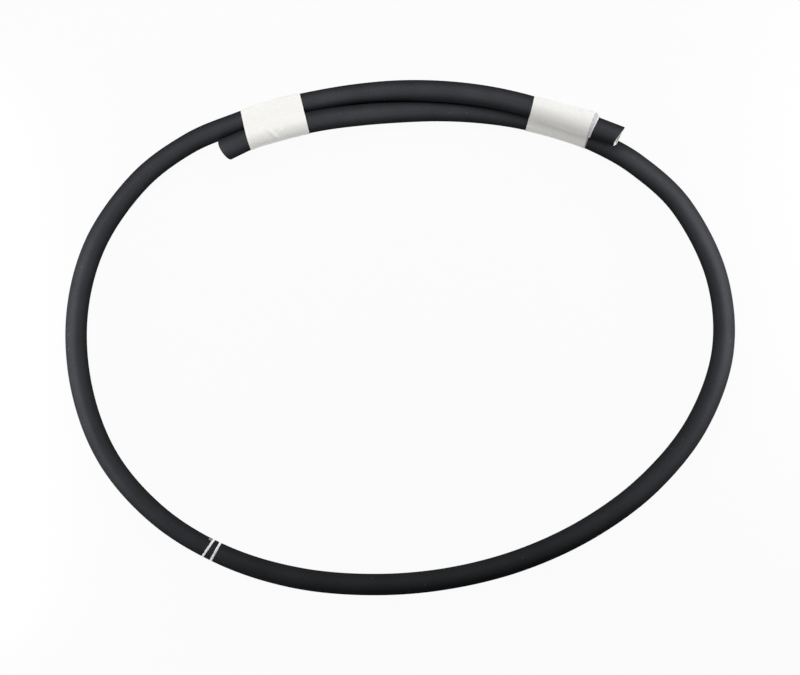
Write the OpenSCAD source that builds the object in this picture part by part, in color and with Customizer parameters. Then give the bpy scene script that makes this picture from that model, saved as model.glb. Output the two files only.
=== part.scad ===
// Soaker hose: one length of porous rubber hose, laid in an oval loop.
// Its two ends lie over one another along the top and are held by two wraps of tape.
// Millimetres, +Z up. The hose lies on z = 0, and X runs along the oval.

/* [Loop] */
// Length of the oval along X, over the hose
loop_length = 501; // [450:1:580]
// Width of the oval along Y, over the hose
loop_width = 387; // [350:1:440]

/* [Hose] */
// Outside diameter
hose_od = 16; // [12:0.5:20]
// Thickness of the wall round the bore
hose_wall = 3; // [2.5:0.1:4]
// Length of the straight stretch at each cut end
end_len = 16; // [12:0.5:24]
// Gap between the two strands where they lie together
lay_gap = 0.5; // [0.5:0.05:2]
// Gap between the strands where each straight end begins
end_gap = 0.85; // [0.7:0.05:2]

/* [Cut ends] */
// How far the left cut leans, its upper edge outwards
left_cut_lean = 20; // [-25:1:25]
// How far the left cut is turned, its outer side outwards
left_cut_turn = 7; // [-20:1:20]
// How far the right cut leans, its upper edge outwards
right_cut_lean = -6; // [-25:1:25]
// How far the right cut is turned, its outer side outwards
right_cut_turn = 9; // [-20:1:20]

/* [Tape] */
// Width of the roll that both wraps come from
tape_w = 46; // [30:1:50]
// Thickness of the wound layers
tape_t = 0.6; // [0.3:0.1:1.2]
// Thickness of the one layer that sticks out beyond the right wrap
ply_t = 0.3; // [0.1:0.05:0.3]
// How far that layer sticks out
ply_out = 4.4; // [1:0.2:6]
// Clearance between the tape and the hose
tape_gap = 0.3; // [0.25:0.05:0.6]
// Distance from the left straight end to its wrap
left_tape_at = 4; // [3:0.5:12]
// Distance from the right straight end to its wrap
right_tape_at = 6.5; // [6.5:0.5:14]
// How far the left wrap dips between the strands
left_tape_dip = 0.5; // [0:0.1:2]
// How far the right wrap dips between the strands
right_tape_dip = 2; // [0:0.1:2]
// How far the right wrap stands off the outer strand at its far edge
right_tape_flare = 2.5; // [0:0.1:3]

/* [White marks] */
// Width of each painted band
mark_w = 2.2; // [1:0.1:5]
// Thickness of each band
mark_t = 0.3; // [0.2:0.1:0.8]
// Clearance between a band and the hose
mark_gap = 0.15; // [0.1:0.05:0.5]
// Distance along the hose from the left straight end to the first band
mark_at = 931.2; // [700:0.2:1000]
// Distance between the middles of the two bands
mark_pitch = 5.6; // [4:0.2:12]
// How far the second band is turned from square
mark_slant = 7; // [0:1:12]

/* [Hidden] */

$fn = 96;
hose_r = hose_od / 2;
bore_r = hose_r - hose_wall;

// The underside is flat, a tenth of the diameter deep, where the hose lies on the floor
flat_depth = hose_od / 10;
floor_z = hose_r - flat_depth;
// The corners of a wrap stand out this much, so that its sides stay clear of the hose
wrap_step = 22.5;
function wrap_corner(r) = r / cos(wrap_step / 2);
// The tape passes under the hose and holds it this high
tape_floor_gap = 0.3;
tape_z = wrap_corner(hose_r + tape_gap + tape_t) + tape_floor_gap;

// How far the first and last edges of each wrap are turned from square
left_tape_turns = [7, -2];
right_tape_turns = [2, -6];
// Direction in which the right wrap stands off the outer strand, down from the line across
flare_at = 50;

// The points below draw the middle of the hose in an oval this long and wide, and are then
// stretched to the size asked for
drawn_length = 485;
drawn_width = 371;
stretch = [(loop_length - hose_od) / drawn_length, (loop_width - hose_od) / drawn_width];
function stretched(angle) = atan2(stretch.y * sin(angle), stretch.x * cos(angle));

// Directions in which the hose leaves its straight ends, along its run from left to right
left_heading = stretched(24.5);
right_heading = stretched(-21);

// Inner strand under the overlap: x, y, how high it is held (0 on the floor, 1 as at a tape),
// and the angle at which the outer strand lies beside it, up from the floor
overlap = [
    [-116, 147.5, 1, -26], [-88, 156.5, 1, -22], [-59, 163, 1, -21], [-30, 167, 0.4, -10],
    [0, 169.5, 0, 9], [30, 170.5, 0.1, 27], [60, 169, 0.6, 39], [89, 165, 1, 50],
    [117.5, 158, 1, 58], [145.5, 148, 1, 56]];
// The rest of the loop, once round to the start of the overlap: x, y, how high it is held
loop = [
    [178.5, 129.5, 0.6], [212.5, 97.5, 0], [238, 46, 0], [242.5, -10, 0], [223.5, -64, 0],
    [188, -108.5, 0], [142.5, -142.5, 0], [91, -166.5, 0], [36, -180.5, 0], [-20, -185, 0],
    [-77, -180, 0], [-131, -163.5, 0], [-179.5, -134.5, 0], [-217.5, -92, 0], [-238, -40, 0],
    [-242, 17, 0], [-228, 71, 0], [-196, 117, 0], [-158.5, 145.5, 0.5]];

sides = 12;
rings_per_step = 2;
fine = 8;
// How far a cutting shape runs past what it cuts
past = 1;

// ---- centreline ----

function heading(a) = [cos(a), sin(a), 0];
function unit(v) = v / norm(v);
function held_z(share) = floor_z + share * (tape_z - floor_z);
// A drawn point on the floor, and the same point on the hose
function floor_point(p) = [p.x * stretch.x, p.y * stretch.y, 0];
function hose_point(p) = floor_point(p) + [0, 0, held_z(p[2])];
// Direction of the inner strand at a point of the overlap, and square to it, away from the loop
function overlap_along(i) = i == 0 ? heading(left_heading) :
    unit(floor_point(i == len(overlap) - 1 ? loop[0] : overlap[i + 1])
        - floor_point(overlap[i - 1]));
function outwards(i) = cross([0, 0, 1], overlap_along(i));
// Distance between the middles of the two strands
function apart(i) = hose_od + (i == 0 || i == len(overlap) - 1 ? end_gap : lay_gap);
function inner_point(i) = let (a = overlap[i][3])
    hose_point(overlap[i]) + [0, 0, max(0, -apart(i) * sin(a))];
function outer_point(i) = let (a = overlap[i][3])
    inner_point(i) + apart(i) * (outwards(i) * cos(a) + [0, 0, sin(a)]);

strand = [for (i = [0:len(overlap) - 1]) inner_point(i)];
over = [for (i = [0:len(overlap) - 1]) outer_point(i)];
knots = concat(strand, [for (p = loop) hose_point(p)], over);
last = len(knots) - 1;
// Steps along the route from a place on the inner strand to the place beside it on the outer
beside = last - (len(overlap) - 1);
before = knots[1] - 2 * norm(knots[1] - knots[0]) * heading(left_heading);
after = knots[last - 1] + 2 * norm(knots[last] - knots[last - 1]) * heading(right_heading);
route = concat([before], knots, [after]);

// Place and direction on the smooth curve through the route, t steps from its start
function curve(t) = let (i = min(floor(t), last - 1), u = t - i,
    a = route[i], b = route[i + 1], c = route[i + 2], d = route[i + 3])
    b + (c - a) * u / 2 + (2 * a - 5 * b + 4 * c - d) * u * u / 2
    + (3 * b - a - 3 * c + d) * u * u * u / 2;
function curve_way(t) = let (i = min(floor(t), last - 1), u = t - i,
    a = route[i], b = route[i + 1], c = route[i + 2], d = route[i + 3])
    unit((c - a) / 2 + (2 * a - 5 * b + 4 * c - d) * u + (3 * b - a - 3 * c + d) * 1.5 * u * u);

fine_line = [for (k = [0:last * fine]) curve(k / fine)];
function lengths(points, i = 1, sum = 0, out = [0]) = i == len(points) ? out :
    let (s = sum + norm(points[i] - points[i - 1])) lengths(points, i + 1, s, concat(out, [s]));
run = lengths(fine_line);
loop_len = run[len(run) - 1];
run_table = [for (k = [0:len(run) - 1]) [run[k], k / fine]];
// Steps along the route at a distance along the hose
function step_at(s) = lookup(s, run_table);

// The line midway between the two strands, along which the tape is set out
pair_line = [for (k = [0:(len(overlap) - 1) * fine])
    (curve(k / fine) + curve(k / fine + beside)) / 2];
pair_run = lengths(pair_line);
pair_len = pair_run[len(pair_run) - 1];
pair_table = [for (k = [0:len(pair_run) - 1]) [pair_run[k], k / fine]];

// ---- surfaces ----

// A closed solid through rings of points, the last ring joined to the first
module ring_skin(rings) {
    n = len(rings);
    m = len(rings[0]);
    polyhedron(
        points = [for (r = rings) each r],
        faces = [for (i = [0:n - 1], j = [0:m - 1], half = [0, 1])
            let (a = i * m + j, b = i * m + (j + 1) % m,
                c = (i + 1) % n * m + (j + 1) % m, d = (i + 1) % n * m + j)
            half == 0 ? [a, b, c] : [a, c, d]]);
}

// A ring of points round the hose, kept above the floor
function hose_ring(t, r) = let (c = curve(t), way = curve_way(t),
    side = unit(cross(way, [0, 0, 1])), up = cross(side, way))
    [for (j = [0:sides - 1]) let (a = 360 * j / sides, p = c + r * (cos(a) * side + sin(a) * up))
        [p.x, p.y, max(p.z, 0)]];

// Puts its children with +Z along a level heading, at a point on the hose
module on_hose(point, angle) {
    translate(point) rotate([0, 90, angle]) children();
}

// All that lies below a height, over the whole part
module below(z) {
    size = 4 * max([for (p = knots) norm(p)]);
    translate([-size / 2, -size / 2, z - size]) cube(size);
}

// ---- hose ----

module hose_loop() {
    // the facets of the bore stay outside the drilled bore of the ends
    faceted_bore = bore_r / cos(180 / sides);
    steps = [for (k = [0:last * rings_per_step]) k / rings_per_step];
    count = len(steps);
    color("#2b2b2d") ring_skin(concat(
        [for (k = [0:count - 1]) hose_ring(steps[k], hose_r)],
        [for (k = [count - 1:-1:0]) hose_ring(steps[k], faceted_bore)]));
}

// A straight end with its true bore, from the loop to a slanted cut
module hose_end(joint, angle, lean, turn) {
    reach = end_len + hose_od;
    color("#2b2b2d") on_hose(joint, angle) difference() {
        cylinder(r = hose_r, h = reach);
        translate([0, 0, -past]) cylinder(r = bore_r, h = reach + 2 * past);
        translate([0, 0, end_len]) rotate([turn, lean, 0])
            translate([-hose_od, -hose_od, 0]) cube([2 * hose_od, 2 * hose_od, reach]);
    }
}

module hose_left_end() {
    hose_end(knots[0], left_heading + 180, left_cut_lean, left_cut_turn);
}

module hose_right_end() {
    hose_end(knots[last], right_heading, right_cut_lean, -right_cut_turn);
}

// ---- tape ----

// Outline round the two strands, with r round each, pulled in by dip between them, and standing
// off the outer strand by flare. Each point is a share of the distance between the strands, and
// its place from there, across and down
function wrap_outline(r, dip, flare) = let (corner = wrap_corner(r),
    off = flare * [cos(flare_at), sin(flare_at)])
    concat(
        [for (a = [-90:wrap_step:90]) let (p = corner * [cos(a), sin(a)]
            + off * max(0, cos(a - flare_at))) [0.5, p.x, p.y]],
        [for (x = [1:-1:-1]) [x / 4, 0, r - dip * (1 - 2 / 3 * abs(x))]],
        [for (a = [90:wrap_step:270]) [-0.5, corner * cos(a), corner * sin(a)]],
        [for (x = [-1:1]) [x / 4, 0, -r + dip * (1 - 2 / 3 * abs(x))]]);

// How far across the two strands a point of the outline lies
function across_at(q) = q[0] * (hose_od + lay_gap) + q[1];

// A point of the outline, set across the two strands at s along the line between them
function wrap_point(s, q) = let (t = lookup(s, pair_table),
    inner = curve(t), outer = curve(t + beside),
    across = unit(outer - inner), up = cross(curve_way(t), across))
    inner + (q[0] + 0.5) * (outer - inner) + q[1] * across - q[2] * up;

// How far the layer that sticks out goes at a place across the strands: all its length over the
// outer strand, and a small share of it over the inner one
least_share = 0.1;
function ply_share(across) = min(1, max(least_share, 0.5 + across / hose_r));

// A ring of the wrap, r clear of the strands, at s along them, turned from square, and moved out
// over the outer strand
function wrap_ring(s, r, dip, turn, flare, out = 0) = [for (q = wrap_outline(r, dip, flare))
    let (across = across_at(q)) wrap_point(s + across * tan(turn) + out * ply_share(across), q)];

// A band of tape from one place to another, each edge turned by its own angle. It stands off the
// outer strand by flare at its far edge, and its last layer may stick out beyond the others by ply
module tape_wrap(from, to, turns, dip, flare, ply) {
    cuts = 6;
    bore = hose_r + tape_gap;
    shares = [for (k = [0:cuts]) k / cuts];
    function ring(f, r, out = 0) = wrap_ring(from + (to - from) * f, r, dip,
        turns[0] + (turns[1] - turns[0]) * f, flare * f * f, out);
    color("#ecebe6") ring_skin(concat(
        [for (f = shares) ring(f, bore + tape_t)],
        ply > 0 ? [ring(1, bore + ply_t), ring(1, bore + ply_t, ply), ring(1, bore, ply)] : [],
        [for (k = [cuts:-1:0]) ring(shares[k], bore)]));
}

module left_tape_wrap() {
    tape_wrap(left_tape_at, left_tape_at + tape_w, left_tape_turns, left_tape_dip, 0, 0);
}

module right_tape_wrap() {
    to = pair_len - right_tape_at;
    tape_wrap(to - tape_w, to, right_tape_turns, right_tape_dip, right_tape_flare, ply_out);
}

// ---- marks ----

// A thin band painted round the hose, open where the hose lies on the floor
module mark_band(s, turn) {
    // the straight run of the swept tube that the band lies on
    t = step_at(s) * rings_per_step;
    from = curve(floor(t) / rings_per_step);
    way = curve((floor(t) + 1) / rings_per_step) - from;
    reach = mark_w + hose_od;
    inside = hose_r + mark_gap;
    color("#f4f4f2") difference() {
        on_hose(from + (t - floor(t)) * way, atan2(way.y, way.x)) intersection() {
            difference() {
                cylinder(r = inside + mark_t, h = reach, center = true);
                cylinder(r = inside, h = reach + 2 * past, center = true);
            }
            rotate([turn, 0, 0]) cube([2 * hose_od, 2 * hose_od, mark_w], center = true);
        }
        below(mark_t);
    }
}

module mark_band_1() {
    mark_band(mark_at, 0);
}

module mark_band_2() {
    mark_band(mark_at + mark_pitch, mark_slant);
}

// ---- checks that are printed ----

// The middle of the hose from cut to cut, and the least distance between its surfaces where it
// passes itself
left_tip = [for (f = [1:-0.25:0.25]) knots[0] - f * end_len * heading(left_heading)];
right_tip = [for (f = [0.25:0.25:1]) knots[last] + f * end_len * heading(right_heading)];
whole = concat(left_tip, fine_line, right_tip);
skipped = 6 * fine;
self_gaps = [for (i = [0:len(whole) - 1 - skipped], j = [i + skipped:len(whole) - 1])
    norm(whole[i] - whole[j]) - hose_od];
echo(hose_length = loop_len + 2 * end_len, least_gap = min(self_gaps));

hose_loop();
hose_left_end();
hose_right_end();
left_tape_wrap();
right_tape_wrap();
mark_band_1();
mark_band_2();
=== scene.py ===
"""Looks for a soaker hose: one length of porous rubber hose laid in an oval loop.

The two cut ends of the hose lie over one another along the top of the loop and are bound by two
wraps of white tape. Two white stripes are painted across the hose at the lower left. Everything is
in metres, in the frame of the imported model, with the hose on the floor at z = 0.
"""

import logging
import math
import random
from bisect import bisect_right
from collections.abc import Callable, Iterable, Sequence
from dataclasses import dataclass, field, replace
from enum import Enum
from functools import cached_property
from itertools import accumulate, pairwise

import bmesh
import bpy
from bmesh.types import BMEdge, BMesh, BMFace, BMVert
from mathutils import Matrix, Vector, noise


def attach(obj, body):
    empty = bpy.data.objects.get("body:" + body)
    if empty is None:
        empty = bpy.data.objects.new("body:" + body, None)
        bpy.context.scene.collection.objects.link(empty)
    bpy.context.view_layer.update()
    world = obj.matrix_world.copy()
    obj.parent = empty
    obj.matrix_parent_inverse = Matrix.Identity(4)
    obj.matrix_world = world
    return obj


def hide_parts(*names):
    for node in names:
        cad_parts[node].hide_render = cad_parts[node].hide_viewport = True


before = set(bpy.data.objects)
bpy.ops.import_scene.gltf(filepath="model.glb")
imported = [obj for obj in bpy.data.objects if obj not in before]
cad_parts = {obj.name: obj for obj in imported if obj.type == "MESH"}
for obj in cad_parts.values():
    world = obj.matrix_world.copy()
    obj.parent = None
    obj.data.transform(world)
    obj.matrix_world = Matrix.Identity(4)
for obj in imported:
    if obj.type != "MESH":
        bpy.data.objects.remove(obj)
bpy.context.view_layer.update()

log = logging.getLogger("soaker_hose")

BODY = "root"
MM = 0.001
UP = Vector((0.0, 0.0, 1.0))


# ---- the line that the hose follows ----


class End(Enum):
    """The two cut ends of the hose, by the side of the loop that they lie on."""

    LEFT = "left"
    RIGHT = "right"


@dataclass(frozen=True)
class Beside:
    """A place in the overlap, where the hose lies beside itself.

    Attributes:
        x, y: Middle of the inner strand on the floor plan.
        held: How high the inner strand is held, 0 on the floor and 1 as at a wrap of tape.
        angle: Angle at which the outer strand lies beside it, in degrees up from the floor.
    """

    x: float
    y: float
    held: float
    angle: float


@dataclass(frozen=True)
class Single:
    """A place on the rest of the loop.

    Attributes:
        x, y: Middle of the hose on the floor plan.
        held: How high the hose is held, 0 on the floor and 1 as at a wrap of tape.
    """

    x: float
    y: float
    held: float


OVERLAP = (
    Beside(-0.116, 0.1475, 1, -26), Beside(-0.088, 0.1565, 1, -22), Beside(-0.059, 0.163, 1, -21),
    Beside(-0.030, 0.167, 0.4, -10), Beside(0.0, 0.1695, 0, 9), Beside(0.030, 0.1705, 0.1, 27),
    Beside(0.060, 0.169, 0.6, 39), Beside(0.089, 0.165, 1, 50), Beside(0.1175, 0.158, 1, 58),
    Beside(0.1455, 0.148, 1, 56),
)
LOOP = (
    Single(0.1785, 0.1295, 0.6), Single(0.2125, 0.0975, 0), Single(0.238, 0.046, 0),
    Single(0.2425, -0.010, 0), Single(0.2235, -0.064, 0), Single(0.188, -0.1085, 0),
    Single(0.1425, -0.1425, 0), Single(0.091, -0.1665, 0), Single(0.036, -0.1805, 0),
    Single(-0.020, -0.185, 0), Single(-0.077, -0.180, 0), Single(-0.131, -0.1635, 0),
    Single(-0.1795, -0.1345, 0), Single(-0.2175, -0.092, 0), Single(-0.238, -0.040, 0),
    Single(-0.242, 0.017, 0), Single(-0.228, 0.071, 0), Single(-0.196, 0.117, 0),
    Single(-0.1585, 0.1455, 0.5),
)


# The hose isn't quite round everywhere: distances along it, and its width as a share of its height
SWELL = (
    (-0.018, 1.08), (0.006, 1.0), (0.270, 1.0), (0.300, 1.03), (0.430, 1.02), (0.585, 1.10),
    (0.750, 1.015), (0.870, 1.01), (0.940, 0.96), (1.090, 1.015), (1.210, 1.02), (1.305, 0.97),
    (1.345, 1.0),
)

# Painted sheen, stronger where the lamps fall: distances along the hose, and the share of the most
PAINTED_SHEEN_ALONG = (
    (0.280, 0.87), (0.330, 1.0), (0.450, 1.0), (0.580, 0.75), (0.700, 0.32), (0.890, 0.30),
    (1.080, 0.78), (1.200, 0.70), (1.310, 0.72), (1.380, 0.87),
)


def share_at(place: float, outline: Sequence[tuple[float, float]]) -> float:
    """Reads an outline of straight lines.

    Args:
        place: Where it is read.
        outline: Place and share of each of its points, in order.

    Returns:
        The share there.
    """
    for (a, share), (b, next_share) in pairwise(outline):
        if place <= b:
            return share + (next_share - share) * max(0.0, place - a) / (b - a)
    return outline[-1][1]


def heading(degrees: float) -> Vector:
    """Returns the level direction at an angle from +X."""
    return Vector((math.cos(math.radians(degrees)), math.sin(math.radians(degrees)), 0.0))


@dataclass(frozen=True)
class Station:
    """A place along the hose.

    Attributes:
        place: Middle of the hose.
        way: Direction of the hose, from its left cut end to its right one.
        along: Distance from the left straight end, negative before it.
    """

    place: Vector
    way: Vector
    along: float

    @property
    def side(self) -> Vector:
        """Level direction square to the hose, out of the loop on the outer strand."""
        return UP.cross(self.way).normalized()

    @property
    def top(self) -> Vector:
        """Direction square to the hose and to its side, upwards."""
        return self.way.cross(self.side).normalized()


class LengthTable:
    """Distances along a line that is given by steps."""

    def __init__(self, line: Callable[[float], Vector], steps: int, per_step: int = 8) -> None:
        """Measures the line.

        Args:
            line: Place on the line at a number of steps.
            steps: Steps from the line's start to its end.
            per_step: How many measures are taken in each step.
        """
        self._steps = [k / per_step for k in range(steps * per_step + 1)]
        places = [line(step) for step in self._steps]
        self._runs = list(accumulate(((b - a).length for a, b in pairwise(places)),
                                     initial=0.0))

    @property
    def total(self) -> float:
        """Length of the whole line."""
        return self._runs[-1]

    def step_at(self, along: float) -> float:
        """Finds the place at a distance.

        Args:
            along: Distance from the line's start.

        Returns:
            The steps there.
        """
        i = min(max(bisect_right(self._runs, along), 1), len(self._runs) - 1)
        share = (along - self._runs[i - 1]) / (self._runs[i] - self._runs[i - 1])
        return self._steps[i - 1] + share * (self._steps[i] - self._steps[i - 1])


@dataclass(frozen=True)
class Route:
    """The middle line of the hose, through given points.

    Attributes:
        hose_diameter: Outside diameter of the hose.
        flat_share: How much of the diameter the hose settles by on the floor.
        tape_height: Height of the middle of a strand that lies on a wrap.
        lay_gap: Gap between the strands where they lie together, none as they touch.
        end_gap: Gap between the strands where each straight end begins.
        end_length: Length of the straight stretch at each cut end.
        left_heading, right_heading: Directions of the straight ends along the run, in degrees.
    """

    hose_diameter: float = 16 * MM
    flat_share: float = 0.1
    tape_height: float = 9.3744 * MM
    lay_gap: float = 0.0
    end_gap: float = 0.3 * MM
    end_length: float = 16 * MM
    left_heading: float = 24.5
    right_heading: float = -21

    @property
    def hose_radius(self) -> float:
        """Outside radius of the hose."""
        return self.hose_diameter / 2

    def height(self, held: float) -> float:
        """Returns the height of the middle of a strand that is held up by that share."""
        on_floor = self.hose_radius - self.flat_share * self.hose_diameter
        return on_floor + held * (self.tape_height - on_floor)

    @cached_property
    def knots(self) -> list[Vector]:
        """The points that the middle line passes, from the left straight end to the right one."""
        inner: list[Vector] = []
        outer: list[Vector] = []
        plan = [Vector((p.x, p.y, 0.0)) for p in (*OVERLAP, LOOP[0])]
        for i, spot in enumerate(OVERLAP):
            along = heading(self.left_heading) if i == 0 else plan[i + 1] - plan[i - 1]
            outwards = UP.cross(along).normalized()
            at_an_end = i in (0, len(OVERLAP) - 1)
            apart = self.hose_diameter + (self.end_gap if at_an_end else self.lay_gap)
            angle = math.radians(spot.angle)
            lift = max(0.0, -apart * math.sin(angle))
            below = plan[i] + (self.height(spot.held) + lift) * UP
            inner.append(below)
            outer.append(below + apart * (math.cos(angle) * outwards + math.sin(angle) * UP))
        around = [Vector((p.x, p.y, self.height(p.held))) for p in LOOP]
        return inner + around + outer

    @cached_property
    def _controls(self) -> list[Vector]:
        """The knots with one more at each end, which gives the straight ends their direction."""
        knots = self.knots
        first = (knots[1] - knots[0]).length * heading(self.left_heading)
        final = (knots[-1] - knots[-2]).length * heading(self.right_heading)
        return [knots[1] - 2 * first, *knots, knots[-2] + 2 * final]

    @property
    def steps(self) -> int:
        """Steps from knot to knot along the whole line."""
        return len(self.knots) - 1

    @property
    def beside(self) -> int:
        """Steps from a place on the inner strand to the place beside it on the outer one."""
        return self.steps - (len(OVERLAP) - 1)

    def at_step(self, step: float) -> tuple[Vector, Vector]:
        """Finds the smooth curve's place and direction.

        Args:
            step: Steps along the knots from the left straight end.

        Returns:
            The place, and the direction as a unit vector.
        """
        i = min(int(step), self.steps - 1)
        u = step - i
        a, b, c, d = self._controls[i:i + 4]
        square = 2 * a - 5 * b + 4 * c - d
        cube = 3 * b - a - 3 * c + d
        place = b + (c - a) * u / 2 + square * u * u / 2 + cube * u * u * u / 2
        way = (c - a) / 2 + square * u + cube * 1.5 * u * u
        return place, way.normalized()

    @cached_property
    def _lengths(self) -> LengthTable:
        """The distance along the hose at each step."""
        return LengthTable(lambda step: self.at_step(step)[0], self.steps)

    @cached_property
    def pair(self) -> LengthTable:
        """The distance along the line midway between the two strands at each step."""
        return LengthTable(lambda step: (self.at_step(step)[0]
                                         + self.at_step(step + self.beside)[0]) / 2,
                           len(OVERLAP) - 1)

    @property
    def loop_length(self) -> float:
        """Length of the hose between its straight ends."""
        return self._lengths.total

    @property
    def length(self) -> float:
        """Length of the hose from cut to cut."""
        return self.loop_length + 2 * self.end_length

    def station(self, along: float) -> Station:
        """Finds a place along the hose.

        Args:
            along: Distance from the left straight end, which may lie on a straight end too.

        Returns:
            The station there.
        """
        if along < 0:
            way = heading(self.left_heading)
            return Station(self.knots[0] + along * way, way, along)
        if along > self.loop_length:
            way = heading(self.right_heading)
            return Station(self.knots[-1] + (along - self.loop_length) * way, way, along)
        place, way = self.at_step(self._lengths.step_at(along))
        return Station(place, way, along)

    def around(self, station: Station, angle: float, radius: float) -> Vector:
        """Finds a point round the hose, whose lower half settles on the floor.

        Args:
            station: Place along the hose.
            angle: Angle from the station's side, upwards, in radians.
            radius: Distance from the middle of the hose, where it isn't settled.

        Returns:
            The point.
        """
        settled = min(1.0, station.place.z / self.hose_radius) if math.sin(angle) < 0 else 1.0
        wide = share_at(station.along, SWELL)
        off = wide * math.cos(angle) * station.side + settled * math.sin(angle) * station.top
        return station.place + radius * off

    def stations(self, spacing: float) -> list[Station]:
        """Divides the hose from cut to cut.

        Args:
            spacing: Distance between stations, at most.

        Returns:
            Evenly spaced stations, the first and the last at the cuts.
        """
        count = math.ceil(self.length / spacing)
        return [self.station(self.length * k / count - self.end_length) for k in range(count + 1)]


# ---- mesh helpers ----

Ring = Sequence[Vector]

# Angle between faces from which an edge looks sharp, in degrees
SHARP = 40


def edges_within(verts: Iterable[BMVert]) -> list[BMEdge]:
    """Returns the edges that join the given vertices to each other."""
    chosen = set(verts)
    return [e for e in {e for v in chosen for e in v.link_edges} if set(e.verts) <= chosen]


def faces_within(verts: Iterable[BMVert]) -> list[BMFace]:
    """Returns the faces that lie between the given vertices."""
    chosen = set(verts)
    return [f for f in {f for v in chosen for f in v.link_faces} if set(f.verts) <= chosen]


def roll(bm: BMesh, rings: Sequence[Ring], joined: bool = True) -> list[list[BMVert]]:
    """Rolls a sheet into a tube through a row of rings.

    Args:
        bm: The mesh that the tube is added to.
        rings: The rings, each with as many points.
        joined: Whether the last ring is joined to the first, which makes a closed shell.

    Returns:
        The vertices of each ring, in the order of its points.
    """
    sides = len(rings[0])
    lengths = len(rings) if joined else len(rings) - 1
    verts = bmesh.ops.create_grid(bm, x_segments=sides, y_segments=lengths, size=1.0)["verts"]
    rows = [verts[i:i + sides + 1] for i in range(0, len(verts), sides + 1)]
    seam = {row[-1]: row[0] for row in rows[:len(rings)]}
    if joined:
        seam.update(zip(rows.pop(), [*rows[0][:-1], rows[0][0]]))
    rows = [row[:-1] for row in rows]
    for row, ring in zip(rows, rings):
        for vert, point in zip(row, ring):
            vert.co = point
    bmesh.ops.weld_verts(bm, targetmap=seam)
    return rows


def finish_mesh(bm: BMesh, name: str, finishes: Sequence["Finish"],
                nodes: Sequence[str]) -> bpy.types.Object:
    """Turns a mesh into a finished piece that rides on the part.

    Args:
        bm: The mesh, which is freed.
        name: Name of the piece.
        finishes: Finishes of the piece, in the order of its material numbers.
        nodes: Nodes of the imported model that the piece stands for.

    Returns:
        The piece.
    """
    bmesh.ops.recalc_face_normals(bm, faces=bm.faces[:])
    for face in bm.faces:
        face.smooth = True
    mesh = bpy.data.meshes.new(name)
    bm.to_mesh(mesh)
    bm.free()
    mesh.set_sharp_from_angle(angle=math.radians(SHARP))
    for finish in finishes:
        mesh.materials.append(finish.material)
    piece = bpy.data.objects.new(name, mesh)
    bpy.context.scene.collection.objects.link(piece)
    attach(piece, BODY)
    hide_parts(*nodes)
    return piece


# ---- finishes ----


# Attributes that hold a place on the straightened hose, how much painted sheen it has there, and a
# place on the unwound tape
STRAIGHT = "straight_hose"
PAINTED_SHEEN = "painted_sheen_share"
FLAT = "flat_tape"

# Painted sheen: its share at each height of the hose, 0 at its foot and 1 at its top, so the upper
# side is painted lighter as a highlight
PAINTED_SHEEN_UP_THE_SIDE = ((0.5, "#565656"), (0.77, "#787878"),
                    (0.888, "#b0b0b0"), (0.954, "#e2e2e2"), (0.989, "#ffffff"))


def linear(hex_colour: str) -> tuple[float, float, float, float]:
    """Turns an sRGB colour into a linear one.

    Args:
        hex_colour: The colour, such as '#2b2b2d'.

    Returns:
        Its red, green and blue, and an alpha of 1.
    """
    channels = [int(hex_colour[i:i + 2], 16) / 255 for i in (1, 3, 5)]
    r, g, b = (c / 12.92 if c <= 0.04045 else ((c + 0.055) / 1.055) ** 2.4 for c in channels)
    return r, g, b, 1.0


def add_node(tree: bpy.types.NodeTree, kind: str, settings: dict[str, object] | None = None,
             in_order: Sequence[object] = (), stops: Sequence[tuple[float, str]] = (),
             **inputs: object) -> bpy.types.Node:
    """Adds a node with its settings and links.

    Args:
        tree: The node tree.
        kind: Type of the node, such as 'ShaderNodeBump'.
        settings: Values of the node's own properties.
        in_order: Values of the first input sockets, for a node whose sockets share a name.
        stops: Place and sRGB colour of each stop of a colour ramp.
        inputs: Value of each input socket, by its name with underscores for spaces. An output
            socket is linked, and anything else is set, in these and in those in order.

    Returns:
        The node.
    """
    node = tree.nodes.new(kind)
    for name, value in (settings or {}).items():
        setattr(node, name, value)
    named = [(next(s for s in node.inputs if s.name.replace(" ", "_") == name and s.enabled), value)
             for name, value in inputs.items()]
    for socket, value in [*zip(node.inputs, in_order), *named]:
        if isinstance(value, bpy.types.NodeSocket):
            tree.links.new(value, socket)
        else:
            socket.default_value = value
    if stops:
        elements = node.color_ramp.elements
        while len(elements) < len(stops):
            elements.new(0.5)
        for element, (place, colour) in zip(elements, stops):
            element.position = place
            element.color = linear(colour)
    return node


def scale_for(size: float) -> float:
    """Returns a noise scale that repeats over a real size in metres."""
    return 1.0 / size


@dataclass(frozen=True)
class Finish:
    """A finish, made into one procedural material the first time that it is used.

    Attributes:
        name: Name of the material, after what it really is.
    """

    name: str

    @cached_property
    def material(self) -> bpy.types.Material:
        """The material."""
        material = bpy.data.materials.new(self.name)
        material.use_nodes = True
        tree = material.node_tree
        tree.nodes.clear()
        output = add_node(tree, "ShaderNodeOutputMaterial")
        tree.links.new(self.surface(tree), output.inputs["Surface"])
        return material

    def surface(self, tree: bpy.types.NodeTree) -> bpy.types.NodeSocket:
        """Adds the shader's nodes.

        Args:
            tree: The material's node tree.

        Returns:
            The shader's output.
        """
        raise NotImplementedError


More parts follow.
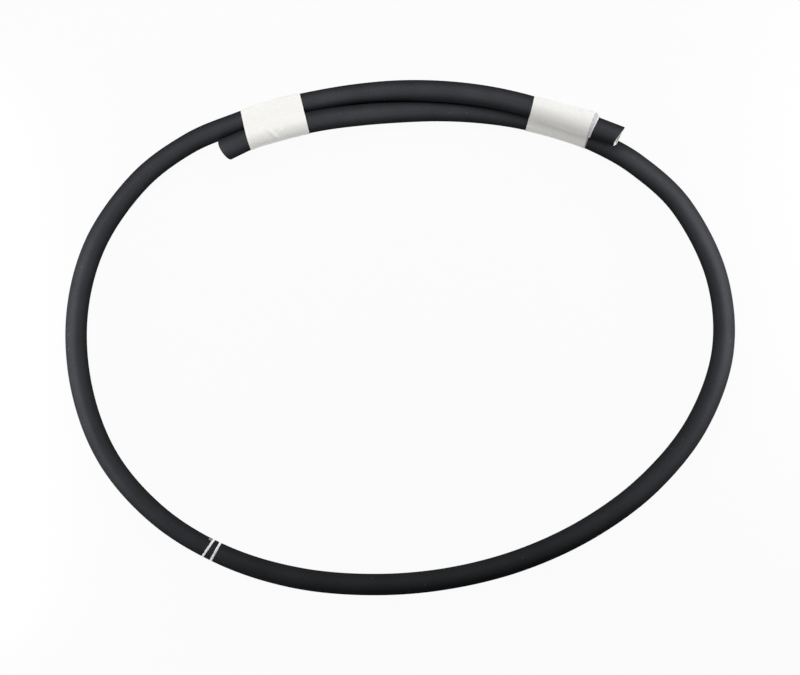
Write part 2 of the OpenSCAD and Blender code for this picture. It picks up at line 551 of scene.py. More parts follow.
@dataclass(frozen=True)
class CrumbRubber(Finish):
    """Recycled crumb rubber, extruded: tyre crumb bound with a little polyethylene.

    It looks matt charcoal, with a fine pebbled grain from the crumb and a few paler specks. Its
    upper side is painted paler than its flanks, a painted sheen in place of the soft sheen that the
    lamps give, stronger along the stretches that the lamps light best. The crumb itself is too
    rough for any gloss. The grain is about 0.4 mm on the real hose and is drawn at 0.9 mm, because
    it is too fine to show otherwise.

    Attributes:
        shade, light_shade: Colours of the clean skin.
        sheened, light_sheened: Colours of the skin where the painted sheen is strongest.
        speck: Colour of the paler specks.
        radius: Outside radius of the hose, by which the dust knows the upper side.
        grain, patch, speck_spacing: Sizes of the crumb and of the patches, and room for a speck.
        grain_depth: Depth of the crumb's relief.
    """

    name: str = "extruded_crumb_rubber"
    shade: str = "#1f2022"
    light_shade: str = "#252628"
    sheened: str = "#404144"
    light_sheened: str = "#4a4c50"
    speck: str = "#6a6a6a"
    radius: float = 8 * MM
    grain: float = 0.9 * MM
    patch: float = 28 * MM
    grain_depth: float = 0.05 * MM
    speck_spacing: float = 8.1 * MM

    def surface(self, tree: bpy.types.NodeTree) -> bpy.types.NodeSocket:
        """Adds the shader's nodes.

        Args:
            tree: The material's node tree.

        Returns:
            The shader's output.
        """
        straight = add_node(tree, "ShaderNodeAttribute", {"attribute_name": STRAIGHT})
        place = straight.outputs["Vector"]
        crumb = add_node(tree, "ShaderNodeTexNoise", Vector=place, Scale=scale_for(self.grain),
                         Detail=3.0, Roughness=0.6)
        patches = add_node(tree, "ShaderNodeTexNoise", Vector=place, Scale=scale_for(self.patch),
                           Detail=2.0, Roughness=0.5)
        both = add_node(tree, "ShaderNodeMix", {"data_type": "FLOAT"}, Factor=0.4,
                        A=crumb.outputs["Fac"], B=patches.outputs["Fac"])
        clean = add_node(tree, "ShaderNodeValToRGB", Fac=both.outputs["Result"],
                         stops=((0.35, self.shade), (0.65, self.light_shade)))
        sheened_skin = add_node(tree, "ShaderNodeValToRGB", Fac=both.outputs["Result"],
                          stops=((0.35, self.sheened), (0.65, self.light_sheened)))
        axes = add_node(tree, "ShaderNodeSeparateXYZ", Vector=place)
        height = add_node(tree, "ShaderNodeMapRange", Value=axes.outputs["Y"],
                          From_Min=-self.radius, From_Max=self.radius)
        # Painted sheen: the upper side is painted paler, more so along the stretches that the lamps
        # light best
        sheen_by_height = add_node(tree, "ShaderNodeValToRGB", Fac=height.outputs["Result"],
                              stops=PAINTED_SHEEN_UP_THE_SIDE)
        sheen_along = add_node(tree, "ShaderNodeAttribute", {"attribute_name": PAINTED_SHEEN})
        sheen_share = add_node(tree, "ShaderNodeMath", {"operation": "MULTIPLY"},
                        (sheen_by_height.outputs["Color"], sheen_along.outputs["Fac"]))
        skin = add_node(tree, "ShaderNodeMix", {"data_type": "RGBA"}, Factor=sheen_share.outputs["Value"],
                        A=clean.outputs["Color"], B=sheened_skin.outputs["Color"])
        specks = add_node(tree, "ShaderNodeTexVoronoi", {"feature": "F1"}, Vector=place,
                          Scale=scale_for(self.speck_spacing))
        shown = add_node(tree, "ShaderNodeMapRange", Value=specks.outputs["Distance"],
                         From_Min=0.03, From_Max=0.07, To_Min=0.6, To_Max=0.0)
        colour = add_node(tree, "ShaderNodeMix", {"data_type": "RGBA"},
                          Factor=shown.outputs["Result"], A=skin.outputs["Result"],
                          B=linear(self.speck))
        rough = add_node(tree, "ShaderNodeMapRange", Value=crumb.outputs["Fac"],
                         To_Min=0.62, To_Max=0.78)
        bump = add_node(tree, "ShaderNodeBump", Height=crumb.outputs["Fac"], Strength=0.6,
                        Distance=self.grain_depth)
        shader = add_node(tree, "ShaderNodeBsdfPrincipled", Base_Color=colour.outputs["Result"],
                          Roughness=rough.outputs["Result"], IOR=1.5,
                          Specular_IOR_Level=0.0, Normal=bump.outputs["Normal"])
        return shader.outputs["BSDF"]


@dataclass(frozen=True)
class CutRubber(Finish):
    """The same crumb rubber cut through with a knife.

    The cut tears through crumbs and pores, so it looks chalky and mottled, far paler than the
    skin, with darker grains between.

    Attributes:
        pale, dark: Colours of the torn face and of the grains.
        crumb, crumb_depth: Size of the crumbs, and depth of their relief.
    """

    name: str = "knife_cut_crumb_rubber"
    pale: str = "#dcdcd6"
    dark: str = "#8c8f8c"
    crumb: float = 1.1 * MM
    crumb_depth: float = 0.2 * MM

    def surface(self, tree: bpy.types.NodeTree) -> bpy.types.NodeSocket:
        """Adds the shader's nodes.

        Args:
            tree: The material's node tree.

        Returns:
            The shader's output.
        """
        place = add_node(tree, "ShaderNodeTexCoord").outputs["Object"]
        crumbs = add_node(tree, "ShaderNodeTexNoise", Vector=place, Scale=scale_for(self.crumb),
                          Detail=4.0, Roughness=0.7)
        colour = add_node(tree, "ShaderNodeValToRGB", Fac=crumbs.outputs["Fac"],
                          stops=((0.4, self.dark), (0.58, self.pale)))
        bump = add_node(tree, "ShaderNodeBump", Height=crumbs.outputs["Fac"], Strength=0.8,
                        Distance=self.crumb_depth)
        shader = add_node(tree, "ShaderNodeBsdfPrincipled", Base_Color=colour.outputs["Color"],
                          Roughness=0.9, IOR=1.5, Normal=bump.outputs["Normal"])
        return shader.outputs["BSDF"]


@dataclass(frozen=True)
class WhiteTape(Finish):
    """White coated-paper adhesive tape, several layers deep.

    Its coat gives a soft satin light, and the paper under it a faint mottle and fine crosswise
    grain.

    Attributes:
        pale, shade: Colours of the mottle.
        mottle: Size of its clouds.
        fibre, fibre_stretch: Width of the fibres, and how many times as long they are.
        relief: Depth of the relief of both.
    """

    name: str = "coated_paper_tape"
    pale: str = "#fbfaf7"
    shade: str = "#f6f5f1"
    mottle: float = 2.4 * MM
    fibre: float = 0.8 * MM
    fibre_stretch: float = 4.0
    relief: float = 0.03 * MM

    def surface(self, tree: bpy.types.NodeTree) -> bpy.types.NodeSocket:
        """Adds the shader's nodes.

        Args:
            tree: The material's node tree.

        Returns:
            The shader's output.
        """
        flat = add_node(tree, "ShaderNodeAttribute", {"attribute_name": FLAT}).outputs["Vector"]
        clouds = add_node(tree, "ShaderNodeTexNoise", Vector=flat, Scale=scale_for(self.mottle),
                          Detail=3.0, Roughness=0.6)
        stretched = add_node(tree, "ShaderNodeMapping", Vector=flat,
                             Scale=(1.0, 1.0 / self.fibre_stretch, 1.0))
        fibres = add_node(tree, "ShaderNodeTexNoise", Vector=stretched.outputs["Vector"],
                          Scale=scale_for(self.fibre), Detail=2.0, Roughness=0.6)
        colour = add_node(tree, "ShaderNodeValToRGB", Fac=clouds.outputs["Fac"],
                          stops=((0.35, self.shade), (0.6, self.pale)))
        height = add_node(tree, "ShaderNodeMix", {"data_type": "FLOAT"}, Factor=0.5,
                          A=clouds.outputs["Fac"], B=fibres.outputs["Fac"])
        bump = add_node(tree, "ShaderNodeBump", Height=height.outputs["Result"], Strength=0.5,
                        Distance=self.relief)
        shader = add_node(tree, "ShaderNodeBsdfPrincipled", Base_Color=colour.outputs["Color"],
                          Roughness=0.5, IOR=1.46, Normal=bump.outputs["Normal"])
        return shader.outputs["BSDF"]


@dataclass(frozen=True)
class ThinTape(Finish):
    """A single layer of the same tape, which sticks out beyond the others.

    The paper is thin enough for the dark rubber to show through, so it looks a cool lilac grey
    beside the layers that lie on one another.

    Attributes:
        pale, shade: Colours of the mottle.
        mottle: Size of its clouds.
    """

    name: str = "single_layer_paper_tape"
    pale: str = "#dcd9de"
    shade: str = "#c6c2c9"
    mottle: float = 1.6 * MM

    def surface(self, tree: bpy.types.NodeTree) -> bpy.types.NodeSocket:
        """Adds the shader's nodes.

        Args:
            tree: The material's node tree.

        Returns:
            The shader's output.
        """
        flat = add_node(tree, "ShaderNodeAttribute", {"attribute_name": FLAT}).outputs["Vector"]
        clouds = add_node(tree, "ShaderNodeTexNoise", Vector=flat, Scale=scale_for(self.mottle),
                          Detail=3.0, Roughness=0.6)
        colour = add_node(tree, "ShaderNodeValToRGB", Fac=clouds.outputs["Fac"],
                          stops=((0.35, self.shade), (0.62, self.pale)))
        shader = add_node(tree, "ShaderNodeBsdfPrincipled", Base_Color=colour.outputs["Color"],
                          Roughness=0.5, IOR=1.46)
        return shader.outputs["BSDF"]


@dataclass(frozen=True)
class MarkingPaint(Finish):
    """White marking paint, put on with a pen.

    It dries matt and slightly streaky, so the dark rubber shows through where it is thin.

    Attributes:
        pale, thin: Colours where the paint covers and where it is thin.
        streak: Size of the streaks.
    """

    name: str = "white_marking_paint"
    pale: str = "#fbfbf9"
    thin: str = "#dcdde0"
    streak: float = 1.5 * MM

    def surface(self, tree: bpy.types.NodeTree) -> bpy.types.NodeSocket:
        """Adds the shader's nodes.

        Args:
            tree: The material's node tree.

        Returns:
            The shader's output.
        """
        place = add_node(tree, "ShaderNodeTexCoord").outputs["Object"]
        streaks = add_node(tree, "ShaderNodeTexNoise", Vector=place, Scale=scale_for(self.streak),
                           Detail=2.0)
        colour = add_node(tree, "ShaderNodeValToRGB", Fac=streaks.outputs["Fac"],
                          stops=((0.3, self.thin), (0.5, self.pale)))
        shader = add_node(tree, "ShaderNodeBsdfPrincipled", Base_Color=colour.outputs["Color"],
                          Roughness=0.7, IOR=1.5)
        return shader.outputs["BSDF"]


@dataclass(frozen=True)
class SmearedPaint(Finish):
    """The same paint, smeared so thin that the rubber shows through.

    It looks a mottled blue grey.

    Attributes:
        thick, thin: Colours where more and where less of it is left.
        streak: Size of the streaks.
    """

    name: str = "smeared_marking_paint"
    thick: str = "#9aa2b0"
    thin: str = "#5e636e"
    streak: float = 0.9 * MM

    def surface(self, tree: bpy.types.NodeTree) -> bpy.types.NodeSocket:
        """Adds the shader's nodes.

        Args:
            tree: The material's node tree.

        Returns:
            The shader's output.
        """
        place = add_node(tree, "ShaderNodeTexCoord").outputs["Object"]
        streaks = add_node(tree, "ShaderNodeTexNoise", Vector=place, Scale=scale_for(self.streak),
                           Detail=2.0)
        colour = add_node(tree, "ShaderNodeValToRGB", Fac=streaks.outputs["Fac"],
                          stops=((0.4, self.thin), (0.6, self.thick)))
        shader = add_node(tree, "ShaderNodeBsdfPrincipled", Base_Color=colour.outputs["Color"],
                          Roughness=0.75, IOR=1.5)
        return shader.outputs["BSDF"]


@dataclass(frozen=True)
class WhiteFloor(Finish):
    """Matt white paper on the floor.

    It looks white wherever the camera or a gloss shows it, with a faint shadow left, and lights the
    hose no more than pale grey paper does.

    Attributes:
        paper: Colour of the paper by the light that falls on it.
        glow: Share of plain white in what the camera sees.
    """

    name: str = "white_paper_floor"
    paper: str = "#c8c8c8"
    glow: float = 0.95

    def surface(self, tree: bpy.types.NodeTree) -> bpy.types.NodeSocket:
        """Adds the shader's nodes.

        Args:
            tree: The material's node tree.

        Returns:
            The shader's output.
        """
        paper = add_node(tree, "ShaderNodeBsdfDiffuse", Color=linear(self.paper))
        white = add_node(tree, "ShaderNodeEmission", Color=linear("#ffffff"), Strength=1.0)
        ray = add_node(tree, "ShaderNodeLightPath").outputs
        straight = add_node(tree, "ShaderNodeMath", {"operation": "MAXIMUM"},
                            (ray["Is Camera Ray"], ray["Is Transmission Ray"]))
        seen = add_node(tree, "ShaderNodeMath", {"operation": "MAXIMUM"},
                        (straight.outputs["Value"], ray["Is Glossy Ray"]))
        share = add_node(tree, "ShaderNodeMath", {"operation": "MULTIPLY"},
                         (seen.outputs["Value"], self.glow))
        mix = add_node(tree, "ShaderNodeMixShader", None,
                       (share.outputs["Value"], paper.outputs["BSDF"], white.outputs["Emission"]))
        return mix.outputs["Shader"]


# ---- hose ----


@dataclass(frozen=True)
class Cut:
    """A slanting cut across the hose.

    Attributes:
        inner_lean, outer_lean: How far the cut leans in degrees, its upper edge outwards, at the
            inner and the outer side of the hose, as the knife twists on its way through.
        turn: How far the cut is turned in degrees, its outer side outwards.
    """

    inner_lean: float
    outer_lean: float
    turn: float

    def reach(self, across: float, height: float, radius: float) -> float:
        """Finds how far a point of the cut lies beyond its middle.

        Args:
            across: Distance from the middle of the hose, out of the loop.
            height: Distance from the middle of the hose, upwards.
            radius: Outside radius of the hose.

        Returns:
            The distance along the hose, outwards.
        """
        share = 0.5 + across / (2 * radius)
        lean = self.inner_lean + (self.outer_lean - self.inner_lean) * share
        return (across * math.tan(math.radians(self.turn))
                + height * math.tan(math.radians(lean)))


@dataclass(frozen=True)
class Section:
    """A ring of the hose's wall.

    Attributes:
        along: Distance from the left straight end.
        radius: Distance from the middle of the hose.
        ring: Its points.
    """

    along: float
    radius: float
    ring: Ring


@dataclass
class Hose:
    """The hose: a swept tube with its bore, cut at both ends.

    Attributes:
        route: The middle line.
        bore_radius: Radius of the bore.
        sides, spacing: Points round the skin, and distance between rings.
        rim_round: Rounding of the two outer rims.
        tear, tear_rings, tear_seed: How rough each cut is, in how many rings, and by what draws.
        mouth: Length of bore that is frayed and pale like the cut.
        cuts: The two cuts.
        skin, cut_face: Finishes of the skin and of the cuts.
    """

    route: Route
    bore_radius: float = 5 * MM
    sides: int = 48
    spacing: float = 4 * MM
    rim_round: float = 0.25 * MM
    tear: float = 0.12 * MM
    tear_rings: int = 6
    tear_seed: int = 7
    mouth: float = 2.5 * MM
    cuts: dict[End, Cut] = field(default_factory=lambda: {
        End.LEFT: Cut(inner_lean=20, outer_lean=20, turn=7),
        End.RIGHT: Cut(inner_lean=-14, outer_lean=4, turn=9)})
    skin: Finish = CrumbRubber()
    cut_face: Finish = CutRubber()

    def ring(self, station: Station, radius: float) -> list[Vector]:
        """Returns a ring round the hose."""
        return [self.route.around(station, 2 * math.pi * k / self.sides, radius)
                for k in range(self.sides)]

    def ring_on_cut(self, end: End, radius: float) -> list[Vector]:
        """Draws a ring on a cut.

        Args:
            end: The end that is cut.
            radius: Distance from the middle of the hose.

        Returns:
            The ring's points.
        """
        left = end is End.LEFT
        tip = self.route.station(-self.route.end_length if left
                                 else self.route.loop_length + self.route.end_length)
        outwards = -tip.way if left else tip.way
        points = []
        for point in self.ring(tip, radius):
            off = point - tip.place
            points.append(point + outwards * self.cuts[end].reach(
                off.dot(tip.side), off.dot(tip.top), self.route.hose_radius))
        return points

    def sections(self, stations: Sequence[Station]) -> tuple[list[Section], range, range]:
        """Lays out the hose's wall: the skin, the right cut, the bore and the left cut.

        Args:
            stations: The stations from cut to cut.

        Returns:
            The sections, and which of them lie on the right cut and on the left one.
        """
        skin_radius = self.route.hose_radius
        radii = [self.bore_radius + (skin_radius - self.bore_radius) * k / self.tear_rings
                 for k in range(self.tear_rings + 1)]
        foot, tip = stations[0].along, stations[-1].along
        bore = [self.route.station(foot + self.mouth), *stations[1:-1],
                self.route.station(tip - self.mouth)]
        sections = [Section(s.along, skin_radius, self.ring(s, skin_radius))
                    for s in stations[1:-1]]
        right = range(len(sections), len(sections) + len(radii))
        sections += [Section(tip, r, self.ring_on_cut(End.RIGHT, r)) for r in reversed(radii)]
        sections += [Section(s.along, self.bore_radius, self.ring(s, self.bore_radius))
                     for s in reversed(bore)]
        left = range(len(sections), len(sections) + len(radii))
        sections += [Section(foot, r, self.ring_on_cut(End.LEFT, r)) for r in radii]
        return sections, right, left

    def tear_cut(self, rings: Sequence[Sequence[BMVert]], way: Vector,
                 chance: random.Random) -> None:
        """Roughens a cut, whose first and last rings stay as they are.

        Args:
            rings: The rings of the cut.
            way: Direction of the hose there.
            chance: Source of the random draws.
        """
        for vert in (v for ring in rings[1:-1] for v in ring):
            vert.co += way * chance.uniform(-self.tear, self.tear)

    def build(self) -> bpy.types.Object:
        """Builds the hose.

        Returns:
            The hose.
        """
        stations = self.route.stations(self.spacing)
        sections, right, left = self.sections(stations)
        bm = bmesh.new()
        straight = bm.verts.layers.float_vector.new(STRAIGHT)
        sheen_share = bm.verts.layers.float.new(PAINTED_SHEEN)
        rows = roll(bm, [section.ring for section in sections])
        for row, section in zip(rows, sections):
            for k, vert in enumerate(row):
                angle = 2 * math.pi * k / self.sides
                vert[straight] = (section.radius * math.cos(angle),
                                  section.radius * math.sin(angle), section.along)
                # Painted sheen: how strongly the upper side is painted paler at this distance along
                # the hose
                vert[sheen_share] = share_at(section.along, PAINTED_SHEEN_ALONG)
        # The first stretch of the bore is pale as well, as far as the knife frayed it
        for frayed in (rows[right.start:right.stop + 1], rows[left.start - 1:left.stop]):
            for face in faces_within(v for row in frayed for v in row):
                face.material_index = 1
        chance = random.Random(self.tear_seed)
        self.tear_cut(rows[right.start:right.stop], stations[-1].way, chance)
        self.tear_cut(rows[left.start:left.stop], stations[0].way, chance)
        rims = edges_within(rows[right[0]]) + edges_within(rows[left[-1]])
        bmesh.ops.bevel(bm, geom=rims, offset=self.rim_round, segments=2, profile=0.5,
                        affect="EDGES", material=-1)
        hose = finish_mesh(bm, "hose", (self.skin, self.cut_face),
                           ("hose_loop", "hose_left_end", "hose_right_end"))
        self.route.length
        return hose


# ---- tape ----


# The edge of the layer that sticks out of a wrap: how far each point lies out of the loop from the
# middle of the inner strand, on the level and in radii of the hose, and its share of the reach
LOOSE_OUTLINE = ((-1.1, 0.2), (-0.06, 0.25), (0.1, 0.62), (1.95, 1.0), (2.2, 0.8), (2.45, 0.4))


@dataclass(frozen=True)
class OutlinePoint:
    """A point of the outline of a wrap, seen along the two strands that it binds.

    Attributes:
        share: Share of the distance between the strands, 0.5 at the outer one and -0.5 at the
            inner one.
        across, down: Unit direction in which the tape lies off that place.
        sunk: Share of the wrap's dip that the point is pulled in by.
        wound: Share of the way round from the tape's end.
    """

    share: float
    across: float
    down: float
    sunk: float
    wound: float = 0.0


@dataclass(frozen=True)
class Crease:
    """A crease pressed in the tape, in plan.

    Attributes:
        start, end: Where it runs, in the frame of the part.
        rise: Height of the ridge, or depth where negative.
        width: Width of the ridge.
    """

    start: tuple[float, float]
    end: tuple[float, float]
    rise: float
    width: float

    def height(self, point: Vector) -> float:
        """Finds how far the crease lifts the tape.

        Args:
            point: Where on the tape.

        Returns:
            The lift, less the farther the point lies from the crease.
        """
        a, b, p = Vector(self.start), Vector(self.end), point.xy
        share = min(1.0, max(0.0, (p - a).dot(b - a) / (b - a).length_squared))
        distance = (p - a.lerp(b, share)).length
        return self.rise * math.exp(-(2 * distance / self.width) ** 2)


@dataclass
class TapeWrap:
    """A wrap of tape round the two strands.

    Attributes:
        route: The middle line of the hose.
        side: The side of the loop that it lies on.
        near, far: Places of its two edges along the line between the strands.
        turns: How far its edges are turned from square, in degrees.
        dip: How far it is pulled in between the strands.
        flare: How far it stands off the outer strand at its far edge.
        loose_reach: How far one layer sticks out beyond the far edge.
        creases: Creases pressed in it.
        clearance, thickness, ply: Gap to the hose, and thickness of all layers and of one.
        flare_angle: Direction in which it stands off, in degrees up from the outer side.
        lap: Where round the inner strand the tape ends, in degrees down from its outer side.
        seam: Width of the step where it ends, in degrees.
        arc_steps, span_steps, row_spacing: How finely it is divided.
        loose_rows: Rows of the layer that sticks out.
        tape, loose_tape: Finishes of the wrap and of that layer.
    """

    route: Route
    side: End
    near: float
    far: float
    turns: tuple[float, float]
    dip: float
    flare: float = 0.0
    loose_reach: float = 0.0
    creases: tuple[Crease, ...] = ()
    clearance: float = 0.05 * MM
    thickness: float = 0.5 * MM
    ply: float = 0.15 * MM
    flare_angle: float = -50
    lap: float = 150
    seam: float = 1.5
    arc_steps: int = 40
    span_steps: int = 24
    row_spacing: float = 0.7 * MM
    loose_rows: int = 6
    tape: Finish = WhiteTape()
    loose_tape: Finish = ThinTape()

    def arc(self, share: float, start: float, stop: float) -> list[OutlinePoint]:
        """Draws an arc of the outline round a strand.

        Args:
            share: 0.5 round the outer strand and -0.5 round the inner one.
            start, stop: Angles that it runs between, in degrees down from the outer side.

        Returns:
            Its points.
        """
        count = round(self.arc_steps * abs(stop - start) / 180)
        angles = [math.radians(start + (stop - start) * k / count) for k in range(count + 1)]
        return [OutlinePoint(share, math.cos(angle), math.sin(angle), 0.0) for angle in angles]

    def span(self, start: float, down: float) -> list[OutlinePoint]:
        """Draws the outline's stretch from strand to strand.

        Args:
            start: Share that it starts from, 0.5 at the outer strand and -0.5 at the inner one.
            down: 1 under the strands and -1 over them.

        Returns:
            Its points.
        """
        shares = [start * (1 - 2 * k / self.span_steps) for k in range(1, self.span_steps)]
        return [OutlinePoint(share, 0.0, down, math.cos(math.pi * share) ** 3)
                for share in shares]

    def outline(self) -> list[OutlinePoint]:
        """Draws the outline once round, from the end of the tape under the inner strand.

        Returns:
            Its points.
        """
        points = [*self.arc(-0.5, self.lap, 270), *self.span(-0.5, -1.0), *self.arc(0.5, -90, 90),
                  *self.span(0.5, 1.0), *self.arc(-0.5, 90, self.lap - self.seam)]
        return [replace(point, wound=k / (len(points) - 1)) for k, point in enumerate(points)]

    def place(self, along: float, point: OutlinePoint, radius: float,
              flare: float) -> tuple[Vector, Vector]:
        """Finds a point of the wrap.

        Args:
            along: Distance along the line between the strands.
            point: The point of the outline.
            radius: Distance of the tape from the middle of a strand.
            flare: How far the tape stands off the outer strand here.

        Returns:
            The place, and the direction outwards there.
        """
        step = self.route.pair.step_at(along)
        inner, way = self.route.at_step(step)
        outer, _ = self.route.at_step(step + self.route.beside)
        across = (outer - inner).normalized()
        up = way.cross(across)
        outwards = point.across * across - point.down * up
        lift = radius - self.dip * point.sunk
        angle = math.radians(self.flare_angle)
        stood_off = math.cos(angle) * across + math.sin(angle) * up
        if point.share == 0.5:
            outwards_off = flare * max(0.0, outwards.dot(stood_off)) * stood_off
        else:
            outwards_off = Vector()
        place = inner + (point.share + 0.5) * (outer - inner) + lift * outwards + outwards_off
        return place, outwards

    def level_across(self, along: float, point: Vector) -> float:
        """Returns how far out of the loop a point lies from the middle of the inner strand."""
        inner, way = self.route.at_step(self.route.pair.step_at(along))
        return (point - inner).dot(UP.cross(way).normalized())

    def across_at(self, point: OutlinePoint, radius: float) -> float:
        """Returns how far across the two strands a point of the outline lies."""
        apart = self.route.hose_diameter + self.route.lay_gap
        return point.share * apart + point.across * radius

    def ring(self, share: float, radius: float, outline: Sequence[OutlinePoint],
             beyond: float = 0.0, spiral: float = 0.0) -> list[Vector]:
        """Draws one ring of the wrap.

        Args:
            share: Share of the way from the near edge to the far one.
            radius: Distance of the tape from the middle of a strand.
            outline: The wrap's outline.
            beyond: How far the ring is moved out over the outer strand.
            spiral: How much the tape rises once round.

        Returns:
            The ring's points.
        """
        along = self.near + (self.far - self.near) * share
        turn = math.tan(math.radians(self.turns[0] + (self.turns[1] - self.turns[0]) * share))
        points = []
        for spot in outline:
            edge = along + self.across_at(spot, radius) * turn
            lift, flare = radius + spiral * spot.wound, self.flare * share ** 2
            point, outwards = self.place(edge, spot, lift, flare)
            if beyond:
                level = self.level_across(edge, point) / self.route.hose_radius
                edge += beyond * share_at(level, LOOSE_OUTLINE)
                point, outwards = self.place(edge, spot, lift, flare)
            if outwards.z > 0:
                point = point + outwards * sum(c.height(point) for c in self.creases)
            points.append(point)
        return points

    def build(self) -> bpy.types.Object:
        """Builds the wrap.

        Returns:
            The wrap.
        """
        outline = self.outline()
        inside = self.route.hose_radius + self.clearance
        outside = inside + self.thickness - self.ply
        rows = math.ceil((self.far - self.near) / self.row_spacing)
        shares = [k / rows for k in range(rows + 1)]
        rings = [self.ring(f, outside, outline, spiral=self.ply) for f in shares]
        layers = len(rings)
        if self.loose_reach:
            loose = inside + self.ply
            rings += [self.ring(1.0, loose, outline, beyond=self.loose_reach * k / self.loose_rows)
                      for k in range(self.loose_rows + 1)]
            rings.append(self.ring(1.0, inside, outline, beyond=self.loose_reach))
        rings += [self.ring(f, inside, outline) for f in reversed(shares)]
        bm = bmesh.new()
        flat = bm.verts.layers.float_vector.new(FLAT)
        skin = roll(bm, rings)
        girth = 2 * math.pi * outside + 2 * self.route.hose_diameter
        for row, ring in zip(skin, rings):
            for vert, spot in zip(row, outline):
                vert[flat] = (vert.co.x, spot.wound * girth, 0.0)
        if self.loose_reach:
            for face in faces_within(v for row in skin[layers:layers + self.loose_rows]
                                     for v in row):
                face.material_index = 1
        name = f"{self.side.value}_tape_wrap"
        return finish_mesh(bm, name, (self.tape, self.loose_tape), (name,))


# ---- painted stripes ----


@dataclass(frozen=True)
class Dab:
    """A length of paint round the hose.

    Attributes:
        ahead: How far its middle lies ahead of the stripe that it belongs to.
        width: Width along the hose.
        start, stop: Angles that it runs between, up from the outer side of the hose, in degrees.
    """

    ahead: float
    width: float
    start: float
    stop: float


@dataclass
class PaintedStripe:
    """A stripe of white paint across the hose, open where the hose lies on the floor.

    Attributes:
        route: The middle line of the hose.
        number: Number of the stripe, counted along the hose.
        along: Place of its middle along the hose.
        slant: How far it is turned from square, in degrees.
        smears: Smears of thin paint beside it.
        line: The stripe itself.
        thickness: Thickness of the paint.
        shoulder: Share of the width at which the paint is at its full thickness.
        waver_in_width, waver_in_place: How much the width and the place waver, the first as a
            share.
        waver_pace: How fast they waver round the hose, in noise cells for each radian.
        step: Distance between rings round the hose, in degrees at most.
        paint, smeared: Finishes of the stripe and of its smears.
    """

    route: Route
    number: int
    along: float
    slant: float = 0.0
    smears: tuple[Dab, ...] = ()
    line: Dab = Dab(ahead=0.0, width=1.75 * MM, start=193.5, stop=-13.5)
    thickness: float = 0.08 * MM
    shoulder: float = 0.8
    waver_in_width: float = 0.15
    waver_in_place: float = 0.1 * MM
    waver_pace: float = 3.0
    step: float = 4.0
    paint: Finish = MarkingPaint()
    smeared: Finish = SmearedPaint()

    def rings(self, dab: Dab) -> list[list[Vector]]:
        """Lays out a dab of paint, whose edges waver a little.

        Args:
            dab: The dab.

        Returns:
            Its rings, each across its width.
        """
        turn = math.tan(math.radians(self.slant))
        radius = self.route.hose_radius
        steps = math.ceil((dab.start - dab.stop) / self.step)
        rings = []
        for k in range(steps + 1):
            angle = math.radians(dab.start + (dab.stop - dab.start) * k / steps)
            waver = noise.noise(Vector((self.waver_pace * angle, self.number, 0.5)))
            half = dab.width / 2 * (1 + self.waver_in_width * waver)
            middle = (self.along + dab.ahead + turn * radius * math.cos(angle)
                      + self.waver_in_place * waver)
            profile = ((-half, 0.0), (-self.shoulder * half, self.thickness),
                       (self.shoulder * half, self.thickness), (half, 0.0),
                       (0.0, -self.thickness))
            rings.append([
                self.route.around(self.route.station(middle + edge), angle, radius + lift)
                for edge, lift in profile])
        return rings

    def build(self) -> bpy.types.Object:
        """Builds the stripe with its smears.

        Returns:
            The stripe.
        """
        bm = bmesh.new()
        for number, dab in enumerate((self.line, *self.smears)):
            rows = roll(bm, self.rings(dab), joined=False)
            for end in (rows[0], rows[-1]):
                bmesh.ops.contextual_create(bm, geom=edges_within(end))
            for face in faces_within(v for row in rows for v in row):
                face.material_index = min(number, 1)
        return finish_mesh(bm, f"paint_stripe_{self.number}", (self.paint, self.smeared),
                           (f"mark_band_{self.number}",))


# ---- the wraps and the stripes of this hose ----

TAPE_WIDTH = 46 * MM


def left_wrap(route: Route) -> TapeWrap:
    """Lays out the left wrap, 4 mm from where the strands begin to lie together.

    Args:
        route: The middle line of the hose.

    Returns:
        The wrap, with two creases near its inner side.
    """
    near = 4 * MM
    creases = (Crease((-0.1002, 0.1572), (-0.0914, 0.1500), 0.55 * MM, 2.2 * MM),
               Crease((-0.0925, 0.1500), (-0.0885, 0.1555), 0.45 * MM, 2.0 * MM))
    return TapeWrap(route, End.LEFT, near=near, far=near + TAPE_WIDTH, turns=(7, -2),
                    dip=0.5 * MM, creases=creases)


def right_wrap(route: Route) -> TapeWrap:
    """Lays out the right wrap, 6 mm from where the strands part, and wider as it is wound askew.

    Args:
        route: The middle line of the hose.

    Returns:
        The wrap, loose on the outer strand and with one layer that sticks out.
    """
    far, askew = route.pair.total - 6 * MM, 0.5 * MM
    return TapeWrap(route, End.RIGHT, near=far - TAPE_WIDTH - askew, far=far, turns=(2, -7.5),
                    dip=3 * MM, flare=2.5 * MM, loose_reach=4.2 * MM)


def painted_stripes(route: Route) -> tuple[PaintedStripe, PaintedStripe]:
    """Lays out the two stripes at the lower left.

    Args:
        route: The middle line of the hose.

    Returns:
        The stripes, the second one with a smear of paint on each side.
    """
    smears = (Dab(ahead=2.2 * MM, width=2.4 * MM, start=162, stop=142),
              Dab(ahead=-3.0 * MM, width=1.8 * MM, start=24, stop=6))
    return (PaintedStripe(route, 1, along=930.1 * MM, slant=3),
            PaintedStripe(route, 2, along=936.2 * MM, slant=7, smears=smears))


# ---- studio ----


@dataclass(frozen=True)
class Lamp:
    """A soft lamp, not seen itself, that faces the middle of the floor.

    Attributes:
        name: Its name.
        place: Where it hangs.
        size: Its width and height.
        power: Its power in watts.
    """

    name: str
    place: tuple[float, float, float]
    size: tuple[float, float]
    power: float


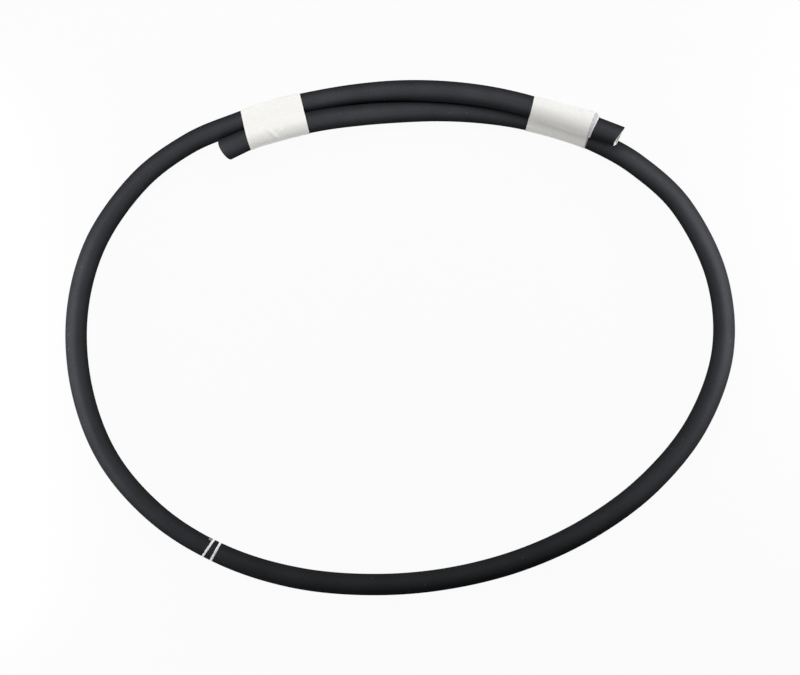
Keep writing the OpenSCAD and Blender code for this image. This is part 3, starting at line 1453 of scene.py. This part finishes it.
@dataclass
class Studio:
    """Camera straight overhead, a pale floor, and soft lamps round the loop.

    Attributes:
        middle: Place on the floor that the camera looks at.
        view_width: Width of the picture at the focus height.
        focus_height: Height at which the picture is to scale.
        camera_height: Height of the camera.
        sensor: Width of its sensor in millimetres.
        floor_size: Length of the floor's sides.
        room_light: Strength of the light that comes from everywhere.
        lamps: The lamps.
    """

    middle: tuple[float, float] = (0.375 * MM, 0.375 * MM)
    view_width: float = 0.6
    focus_height: float = 8 * MM
    camera_height: float = 4.0
    sensor: float = 36.0
    floor_size: float = 6.0
    room_light: float = 0.03
    lamps: tuple[Lamp, ...] = (
        Lamp("north, high", (-0.15, 0.41, 0.50), (0.8, 0.2), 2.75),
        Lamp("north, low", (-0.05, 0.55, 0.30), (0.8, 0.15), 0.75),
        Lamp("east", (0.46, 0.06, 0.07), (0.4, 0.06), 1.62),
        Lamp("west", (-0.34, -0.02, 0.03), (0.4, 0.03), 0.58),
        Lamp("south west", (-0.26, -0.40, 0.25), (0.3, 0.1), 0.50),
    )

    def camera(self) -> None:
        """Sets up the camera, straight above the loop with +Y up in the picture."""
        data = bpy.data.cameras.new("overhead")
        data.sensor_width = self.sensor
        data.lens = self.sensor * (self.camera_height - self.focus_height) / self.view_width
        data.clip_end = 50.0
        camera = bpy.data.objects.new("overhead", data)
        camera.location = (*self.middle, self.camera_height)
        bpy.context.scene.collection.objects.link(camera)
        bpy.context.scene.camera = camera

    def floor(self) -> None:
        """Lays the floor, which looks white and keeps the hose's shadow."""
        bm = bmesh.new()
        bmesh.ops.create_grid(bm, x_segments=1, y_segments=1, size=self.floor_size / 2)
        mesh = bpy.data.meshes.new("floor")
        bm.to_mesh(mesh)
        bm.free()
        mesh.materials.append(WhiteFloor().material)
        floor = bpy.data.objects.new("floor", mesh)
        bpy.context.scene.collection.objects.link(floor)

    def lights(self) -> None:
        """Hangs the lamps, and sets the light of the room."""
        world = bpy.data.worlds.new("studio_room")
        world.use_nodes = True
        bpy.context.scene.world = world
        sky = world.node_tree.nodes["Background"].inputs
        sky["Color"].default_value = linear("#ffffff")
        sky["Strength"].default_value = self.room_light
        for lamp in self.lamps:
            data = bpy.data.lights.new(lamp.name, "AREA")
            data.shape = "RECTANGLE"
            data.size, data.size_y = lamp.size
            data.energy = lamp.power
            light = bpy.data.objects.new(lamp.name, data)
            light.location = lamp.place
            light.visible_camera = False
            light.rotation_euler = (-Vector(lamp.place)).to_track_quat("-Z", "Y").to_euler()
            bpy.context.scene.collection.objects.link(light)


def main() -> None:
    """Builds the studio and the hose's pieces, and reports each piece."""
    logging.basicConfig(level=logging.INFO, format="%(name)s %(message)s")
    bpy.context.scene.view_settings.view_transform = "Standard"
    studio = Studio()
    studio.camera()
    route = Route()
    for part in (Hose(route), left_wrap(route), right_wrap(route), *painted_stripes(route)):
        piece = part.build()
        log.info("%s: %d faces", piece.name, len(piece.data.polygons))
    studio.floor()
    studio.lights()


if __name__ == "__main__":
    main()
